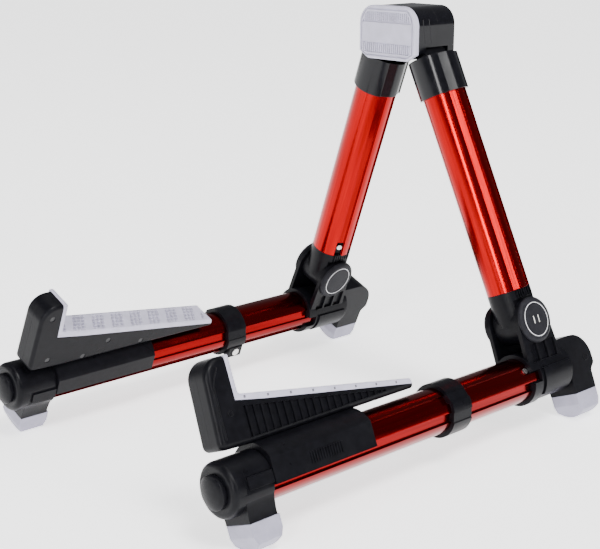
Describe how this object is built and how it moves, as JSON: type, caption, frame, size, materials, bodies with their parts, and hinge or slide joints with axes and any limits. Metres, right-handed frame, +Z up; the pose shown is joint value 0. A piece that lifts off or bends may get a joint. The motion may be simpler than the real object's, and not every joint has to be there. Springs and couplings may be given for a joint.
{
  "type": "folding guitar stand",
  "caption": "Folding A-frame floor stand for a guitar: two hinged tube legs, sliding cradle arms with rubber pads and a padded head.",
  "frame": {"origin": "on the floor, midway between the legs and midway from the rearmost to the foremost point", "axes": "+Z up, -Y forward (the open side, towards the arms' toes), +X to the stand's own left seen from the front"},
  "size_m": [0.268, 0.3376, 0.2805],
  "materials": {
    "red_tube": "red anodised, satin",
    "black_plastic": "fine moulded grain",
    "gloss_black": "smooth moulded",
    "cap_plastic": "coarse moulded grain with a thin printed ring",
    "grey_rubber": "matt soft rubber",
    "steel": "zinc plated",
    "black_screw": "black oxide",
    "washer": "plain nylon"
  },
  "bodies": {
    "head": {"head_front_pad": "grey_rubber", "head_front_shell": "gloss_black", "head_hinge_pins": "steel", "head_rear_shell": "gloss_black", "head_screws": "steel"},
    "right_upper": {"right_upper_tube": "red_tube", "right_top_socket": "gloss_black", "right_knee_fitting": "black_plastic", "right_upper_screw": "steel"},
    "right_lower": {"right_lower_tube": "red_tube", "right_rear_block": "black_plastic", "right_knee_bolt": "steel", "right_knee_nut": "steel", "right_knee_washers": "washer", "right_knee_cap_outer": "cap_plastic", "right_knee_cap_inner": "cap_plastic", "right_rear_foot": "grey_rubber", "right_front_foot": "grey_rubber", "right_front_cap": "black_plastic", "right_end_plug": "black_plastic", "right_collar": "black_plastic", "right_collar_screw": "steel", "right_lower_screw": "steel"},
    "right_arm": {"right_arm_outer_shell": "black_plastic", "right_arm_inner_shell": "black_plastic", "right_arm_screws": "black_screw", "right_arm_pad": "grey_rubber"},
    "left_upper": {"left_upper_tube": "red_tube", "left_top_socket": "gloss_black", "left_knee_fitting": "black_plastic", "left_upper_screw": "steel"},
    "left_lower": {"left_lower_tube": "red_tube", "left_rear_block": "black_plastic", "left_knee_bolt": "steel", "left_knee_nut": "steel", "left_knee_washers": "washer", "left_knee_cap_outer": "cap_plastic", "left_knee_cap_inner": "cap_plastic", "left_rear_foot": "grey_rubber", "left_front_foot": "grey_rubber", "left_front_cap": "black_plastic", "left_end_plug": "black_plastic", "left_collar": "black_plastic", "left_collar_screw": "steel", "left_lower_screw": "steel"},
    "left_arm": {"left_arm_outer_shell": "black_plastic", "left_arm_inner_shell": "black_plastic", "left_arm_screws": "black_screw", "left_arm_pad": "grey_rubber"}
  },
  "joints": [
    {"name": "right_leg_swing", "type": "hinge", "parent": "head", "child": "right_upper", "pos_m": [0.01898, 0.10325, 0.252], "axis": [0, 1, 0], "range_deg": [0, 23]},
    {"name": "right_knee_fold", "type": "hinge", "parent": "right_upper", "child": "right_lower", "pos_m": [0.09624, 0.11425, 0.07], "axis": [-0.9205, 0, -0.3907], "range_deg": [0, 66]},
    {"name": "right_arm_slide", "type": "slide", "parent": "right_lower", "child": "right_arm", "axis": [0, 1, 0], "range_m": [0, 0.06]},
    {"name": "left_leg_swing", "type": "hinge", "parent": "head", "child": "left_upper", "pos_m": [-0.01898, 0.10325, 0.252], "axis": [0, -1, 0], "range_deg": [0, 23]},
    {"name": "left_knee_fold", "type": "hinge", "parent": "left_upper", "child": "left_lower", "pos_m": [-0.09624, 0.11425, 0.07], "axis": [-0.9205, 0, 0.3907], "range_deg": [0, 66]},
    {"name": "left_arm_slide", "type": "slide", "parent": "left_lower", "child": "left_arm", "axis": [0, 1, 0], "range_m": [0, 0.06]}
  ]
}
